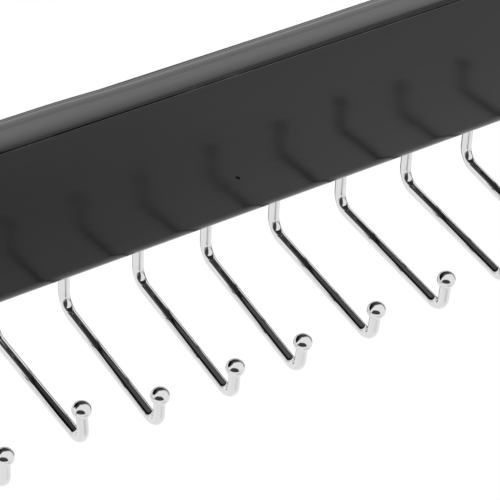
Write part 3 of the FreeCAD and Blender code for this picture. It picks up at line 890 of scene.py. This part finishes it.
@dataclass
class SwivelMount:
    """The swivel hook over the rail, its ferrule and its washer, in millimetres and degrees."""

    base: HangerFrame
    loop_angle: float = 195.0
    point_ease: float = 1.6
    recess_depth: float = 4.4
    peen_diameter: float = 6.4
    peen_rim: float = 0.8
    peen_height: float = 2.0
    bearing_gap: float = 0.05
    washer_diameter: float = 7.4
    washer_thickness: float = 0.8
    washer_bore: float = 1.95
    washer_break: float = 0.1
    ferrule_bore: float = 1.85
    ferrule_lip: float = 0.25
    flange_diameter: float = 8.4
    flange_height: float = 3.4
    flange_round: float = 1.4
    flange_seat: float = 2.0
    spigot_diameter: float = 6.0
    spigot_length: float = 14.0
    sides: int = 56
    ferrule_sides: int = 72
    dome_steps: int = 10
    point_steps: int = 10
    neck_steps: int = 24
    loop_steps: int = 120
    flange_steps: int = 14
    lip_steps: int = 6

    def hook_mesh(self) -> bpy.types.Mesh:
        """Sweep the hook from its peened end to its point.

        Returns:
            The hook's mesh.
        """
        rod = self.base.rod / 2
        peen_top = self.base.underside + self.recess_depth - self.washer_thickness - self.bearing_gap
        radius = self.peen_diameter / 2
        sag = self.peen_height - self.peen_rim
        dome = (radius ** 2 + sag ** 2) / (2 * sag)
        foot = peen_top - self.peen_height
        skin = RingSkin(self.sides)
        across = Vector((0, 1, 0))
        end = arc((0, foot + dome), dome, -90, math.degrees(math.atan2(sag - dome, radius)), self.dome_steps)
        for reach, height in [(0.0, foot)] + end[1:] + [(radius, peen_top), (rod, peen_top)]:
            skin.ring(Vector((0, 0, height)), Vector((-1, 0, 0)), across, reach, height - foot)
        along = self.peen_height
        place = (0.0, peen_top)
        for x, z, heading in self.rod_line():
            along += math.dist(place, (x, z))
            place = (x, z)
            out = Vector((-math.sin(heading), 0, math.cos(heading)))
            skin.ring(Vector((x, 0, z)), out, across, rod, along)
        ahead = Vector((math.cos(heading), 0, math.sin(heading)))
        tip = Vector((x, 0, z))
        for reach, height in arc((rod - self.point_ease, 0), self.point_ease, 0, 90, self.point_steps)[1:]:
            skin.ring(tip + ahead * height, out, across, reach, along + height)
        skin.ring(tip + ahead * self.point_ease, out, across, 0.0, along + self.point_ease)
        return skin.mesh("rail_loop")

    def rod_line(self) -> list[Place]:
        """Follow the rod's middle line up the stem, round the neck and round the loop.

        Returns:
            Places across and up, and the heading in radians above level.
        """
        line_radius = self.base.loop_line
        cosine = math.cos(math.radians(self.base.neck_turn))
        neck = line_radius * cosine / (1 - cosine)
        height = self.base.neck_height
        ease = math.degrees(self.point_ease / line_radius)
        line = [(0.0, height, math.radians(90))]
        for x, z in arc((neck, height), neck, 180, 180 - self.base.neck_turn, self.neck_steps)[1:]:
            line.append((x, z, math.atan2(neck - x, z - height)))
        sweep = self.base.neck_turn + self.loop_angle - ease
        for step in range(1, self.loop_steps + 1):
            turn = math.radians(sweep * step / self.loop_steps - self.base.neck_turn)
            line.append((line_radius * math.cos(turn), line_radius * math.sin(turn) - self.base.loop_radius,
                         turn + math.radians(90)))
        return line

    def ferrule_mesh(self) -> bpy.types.Mesh:
        """Turn the flanged bush.

        Returns:
            The ferrule's mesh.
        """
        seat = self.base.underside + self.base.bar_height - self.flange_seat
        top = seat + self.flange_height
        spigot = self.spigot_diameter / 2
        flange = self.flange_diameter / 2
        lip = self.ferrule_lip
        outline = [(self.ferrule_bore, seat - self.spigot_length), (spigot, seat - self.spigot_length),
                   (spigot, seat), (flange, seat)]
        middle = (flange - self.flange_round, top - self.flange_round)
        outline += arc(middle, self.flange_round, 0, 90, self.flange_steps)
        outline += arc((self.ferrule_bore + lip, top - lip), lip, 90, 180, self.lip_steps)
        return lathe("stem_ferrule", outline, self.ferrule_sides)

    def washer_mesh(self) -> bpy.types.Mesh:
        """Turn the washer with its edges broken.

        Returns:
            The washer's mesh.
        """
        top = self.base.underside + self.recess_depth
        low = top - self.washer_thickness
        outer = self.washer_diameter / 2
        cut = self.washer_break
        outline = [(self.washer_bore + cut, low), (outer - cut, low), (outer, low + cut), (outer, top - cut),
                   (outer - cut, top), (self.washer_bore + cut, top), (self.washer_bore, top - cut),
                   (self.washer_bore, low + cut)]
        return lathe("peen_washer", outline, self.sides)

    def build(self, chrome: bpy.types.Material, steel: bpy.types.Material) -> None:
        """Make and dress the hook, the ferrule and the washer.

        Args:
            chrome: The finish of the hook and the ferrule.
            steel: The finish of the washer.
        """
        hook = show(self.hook_mesh())
        settle(hook, "swivel_hook", Body.RAIL_HOOK, chrome)
        ferrule = show(self.ferrule_mesh())
        settle(ferrule, "hook_ferrule", Body.TIE_BAR, chrome)
        washer = show(self.washer_mesh())
        settle(washer, "thrust_washer", Body.TIE_BAR, steel)


@dataclass
class Studio:
    """A white studio with a dark doorway and a dark room for the metal to mirror, in metres."""

    floor_height: float = -0.45
    floor_radius: float = 2.4
    floor_sides: int = 96
    floor_fade: Range = (0.5, 1.6)
    floor_colour: Colour = (0.86, 0.86, 0.86)
    floor_glow: float = 0.94
    world_light: float = 0.42
    doorway_light: float = 0.06
    doorway_heading: Range = (-0.64, -0.768)
    doorway_width: Range = (0.55, 0.70)
    doorway_top: Range = (0.70, 0.84)
    room_heading: Range = (0.31, 0.95)
    room_width: Range = (0.22, 0.42)
    room_foot: Range = (0.30, 0.50)
    room_top: Range = (0.86, 0.95)
    shade: float = 0.85
    shade_start: Range = (0.20, 0.34)
    shade_side: Range = (0.30, 0.45)
    spot: Place = (-0.06, -0.46, 0.0)
    spot_reach: Range = (0.08, 0.30)
    spot_shade: float = 0.26
    box_radiance: float = 2.9
    box_size: Range = (0.80, 2.83)
    box_front: Place = (-0.27, -1.70, 0.55)
    box_back: Place = (0.37, 1.05, 0.26)
    box_fade: float = 0.58
    box_fade_power: float = 2.4
    box_end: Range = (0.58, 1.0)
    box_end_share: float = 0.60
    box_bounces: Range = (2.2, 2.8)
    box_mirrored: float = 0.12

    def along(self, graph: NodeGraph, place: Socket, heading: Range) -> Socket:
        """Measure how far a place or a direction lies along a level heading.

        Args:
            graph: The graph that asks.
            place: The place's or the direction's socket.
            heading: The heading, across and to the back.

        Returns:
            The distance's socket.
        """
        level = (*heading, 0.0)
        return graph.add("ShaderNodeVectorMath", place, level, operation="DOT_PRODUCT").outputs["Value"]

    def floor_shade(self, graph: NodeGraph, place: Socket) -> Socket:
        """Shade the floor towards the dark room, and a little in front of the bar.

        Args:
            graph: The floor's graph.
            place: The place on the floor.

        Returns:
            A socket that is 0 where the floor is bright and 1 where it is black.
        """
        left = (-self.room_heading[1], self.room_heading[0])
        back = graph.remap(self.along(graph, place, self.room_heading), self.shade_start, (0.0, self.shade), True)
        side = graph.remap(self.along(graph, place, left), self.shade_side, FALL, True)
        gap = graph.add("ShaderNodeVectorMath", place, self.spot, operation="DISTANCE").outputs["Value"]
        spot = graph.remap(gap, self.spot_reach, (self.spot_shade, 0.0), True)
        return graph.maths("MAXIMUM", graph.maths("MULTIPLY", back, side), spot)

    def shown(self, graph: NodeGraph) -> Socket:
        """Tell the rays that see the white background from those that carry light.

        Args:
            graph: The graph that asks.

        Returns:
            A socket that is 1 for camera, glossy and transmission rays.
        """
        path = graph.add("ShaderNodeLightPath")
        first = graph.maths("MAXIMUM", path.outputs["Is Camera Ray"], path.outputs["Is Glossy Ray"])
        return graph.maths("MAXIMUM", first, path.outputs["Is Transmission Ray"])

    def mirrored(self, graph: NodeGraph) -> Socket:
        """Tell the rays that a surface has sent on, as 1, from the camera's own."""
        return graph.maths("SUBTRACT", 1.0, graph.add("ShaderNodeLightPath").outputs["Is Camera Ray"])

    def floor(self) -> bpy.types.Object:
        """Lay the pale floor that keeps the object's shadow.

        Returns:
            The floor.
        """
        skin = bmesh.new()
        bmesh.ops.create_circle(skin, cap_ends=True, segments=self.floor_sides, radius=self.floor_radius)
        data = bpy.data.meshes.new("pale_floor")
        skin.to_mesh(data)
        skin.free()
        piece = show(data)
        piece.location = (0, 0, self.floor_height)
        material, graph = new_graph("pale_floor")
        cloth = graph.add("ShaderNodeBsdfDiffuse", (*self.floor_colour, 1.0)).outputs["BSDF"]
        white = graph.add("ShaderNodeEmission").outputs["Emission"]
        pale = graph.add("ShaderNodeMixShader", self.floor_glow, cloth, white).outputs["Shader"]
        place = graph.add("ShaderNodeTexCoord").outputs["Object"]
        reach = graph.add("ShaderNodeVectorMath", place, operation="LENGTH").outputs["Value"]
        far = graph.remap(reach, self.floor_fade, RISE, True)
        fade = graph.add("ShaderNodeMixShader", far, pale, white).outputs["Shader"]
        shade = graph.maths("MULTIPLY", self.floor_shade(graph, place), self.mirrored(graph))
        dusk = graph.add("ShaderNodeMixShader", shade, fade).outputs["Shader"]
        choice = graph.add("ShaderNodeMixShader", self.shown(graph), cloth, dusk)
        graph.add("ShaderNodeOutputMaterial", choice.outputs["Shader"])
        data.materials.append(material)
        return piece

    def world(self) -> None:
        """Light the studio evenly, and show it white with dark patches behind the camera and the bar."""
        world = bpy.data.worlds.new("white_room")
        world.use_nodes = True
        bpy.context.scene.world = world
        graph = NodeGraph(world.node_tree)
        sight = graph.add("ShaderNodeTexCoord").outputs["Generated"]
        axes = graph.add("ShaderNodeSeparateXYZ", sight).outputs
        door = graph.remap(self.along(graph, sight, self.doorway_heading), self.doorway_width, RISE, True)
        door = graph.maths("MULTIPLY", door, graph.remap(axes["Z"], self.doorway_top, FALL, True))
        room = graph.remap(axes["Z"], self.room_foot, RISE, True)
        room = graph.maths("MULTIPLY", room, graph.remap(axes["Z"], self.room_top, FALL, True))
        room = graph.maths("MULTIPLY", room, graph.remap(axes["Y"], self.room_width, RISE, True))
        patch = graph.maths("MULTIPLY", graph.maths("MAXIMUM", door, room), self.mirrored(graph))
        walls = graph.blend(patch, WHITE, (self.doorway_light,) * 3)
        seen = graph.add("ShaderNodeBackground", walls).outputs["Background"]
        light = graph.add("ShaderNodeBackground", (*WHITE, 1.0), self.world_light).outputs["Background"]
        choice = graph.add("ShaderNodeMixShader", self.shown(graph), light, seen)
        graph.add("ShaderNodeOutputWorld", choice.outputs["Shader"])

    def softbox(self, lit: list[bpy.types.Object]) -> None:
        """Hang the long softbox across the bar, from above its front to low behind it.

        It fades out towards its front end and a little towards its back, and it is weak where metal mirrors
        the lacquer that mirrors it.

        Args:
            lit: What the lamp lights. It lights nothing else.
        """
        lamp = bpy.data.lights.new("long_softbox", "AREA")
        lamp.shape = "RECTANGLE"
        lamp.size, lamp.size_y = self.box_size
        lamp.energy = self.box_radiance * math.pi * self.box_size[0] * self.box_size[1]
        lamp.use_nodes = True
        graph = NodeGraph(lamp.node_tree)
        spread = graph.add("ShaderNodeNewGeometry").outputs["Parametric"]
        reach = graph.add("ShaderNodeSeparateXYZ", spread).outputs["Y"]
        share = graph.remap(reach, (0.0, self.box_fade), RISE)
        end = graph.remap(reach, self.box_end, (1.0, self.box_end_share))
        strength = graph.maths("MULTIPLY", graph.maths("POWER", share, self.box_fade_power), end)
        bounces = graph.add("ShaderNodeLightPath").outputs["Ray Depth"]
        direct = graph.remap(bounces, self.box_bounces, (1.0, self.box_mirrored))
        cloth = graph.add("ShaderNodeEmission")
        graph.feed(cloth.inputs["Strength"], graph.maths("MULTIPLY", strength, direct))
        graph.add("ShaderNodeOutputLight", cloth.outputs["Emission"])
        piece = bpy.data.objects.new("long_softbox", lamp)
        bpy.context.scene.collection.objects.link(piece)
        front, back = Vector(self.box_front), Vector(self.box_back)
        length = (back - front).normalized()
        across = length.cross(Vector((0, 0, 1))).normalized()
        turn = Matrix((across, length, across.cross(length))).transposed()
        piece.matrix_world = Matrix.Translation((front + back) / 2) @ turn.to_4x4()
        piece.visible_camera = False
        piece.light_linking.receiver_collection = bpy.data.collections.new("lit_by_softbox")
        for receiver in lit:
            piece.light_linking.receiver_collection.objects.link(receiver)

    def build(self, bar: bpy.types.Object) -> None:
        """Set up the floor, the world and the softbox over the bar.

        Args:
            bar: The bar, which the softbox lights besides the floor.
        """
        floor = self.floor()
        self.world()
        self.softbox([bar, floor])


@dataclass(frozen=True)
class PhotoCamera:
    """The camera at the photograph's viewpoint, in metres and degrees."""

    place: Place = (-0.38649, -0.41768, 0.27542)
    heading: float = 33.69
    dip: float = 39.45
    roll: float = 2.56
    lens: float = 169.46
    sensor: float = 36.0
    near: float = 0.01

    def build(self) -> None:
        """Make the camera and let the scene look through it."""
        heading, dip, roll = (math.radians(angle) for angle in (self.heading, self.dip, self.roll))
        ahead = Vector((math.sin(heading) * math.cos(dip), math.cos(heading) * math.cos(dip), -math.sin(dip)))
        level = Vector((math.cos(heading), -math.sin(heading), 0))
        upright = level.cross(ahead)
        right = level * math.cos(roll) + upright * math.sin(roll)
        up = upright * math.cos(roll) - level * math.sin(roll)
        camera = bpy.data.objects.new("photo_camera", bpy.data.cameras.new("photo_camera"))
        bpy.context.scene.collection.objects.link(camera)
        camera.data.lens = self.lens
        camera.data.sensor_width = self.sensor
        camera.data.clip_start = self.near
        turn = Matrix((right, up, -ahead)).transposed()
        camera.matrix_world = Matrix.Translation(Vector(self.place)) @ turn.to_4x4()
        bpy.context.scene.camera = camera


def main() -> None:
    """Build every sub-assembly in order, then the studio and the camera."""
    logging.basicConfig(level=logging.INFO, format="%(name)s: %(message)s")
    bpy.context.scene.view_settings.view_transform = "Standard"
    lacquer = SatinLacquer().material()
    chrome = CHROME_PLATE.material()
    steel = PLAIN_STEEL.material()
    base = HangerFrame()
    hooks = TieHookRow(base)
    bar = WoodenBar(base).build(lacquer, [hooks.place(number) for number in range(1, hooks.count + 1)])
    hooks.build(chrome)
    SwivelMount(base).build(chrome, steel)
    Studio().build(bar)
    PhotoCamera().build()


if __name__ == "__main__":
    main()
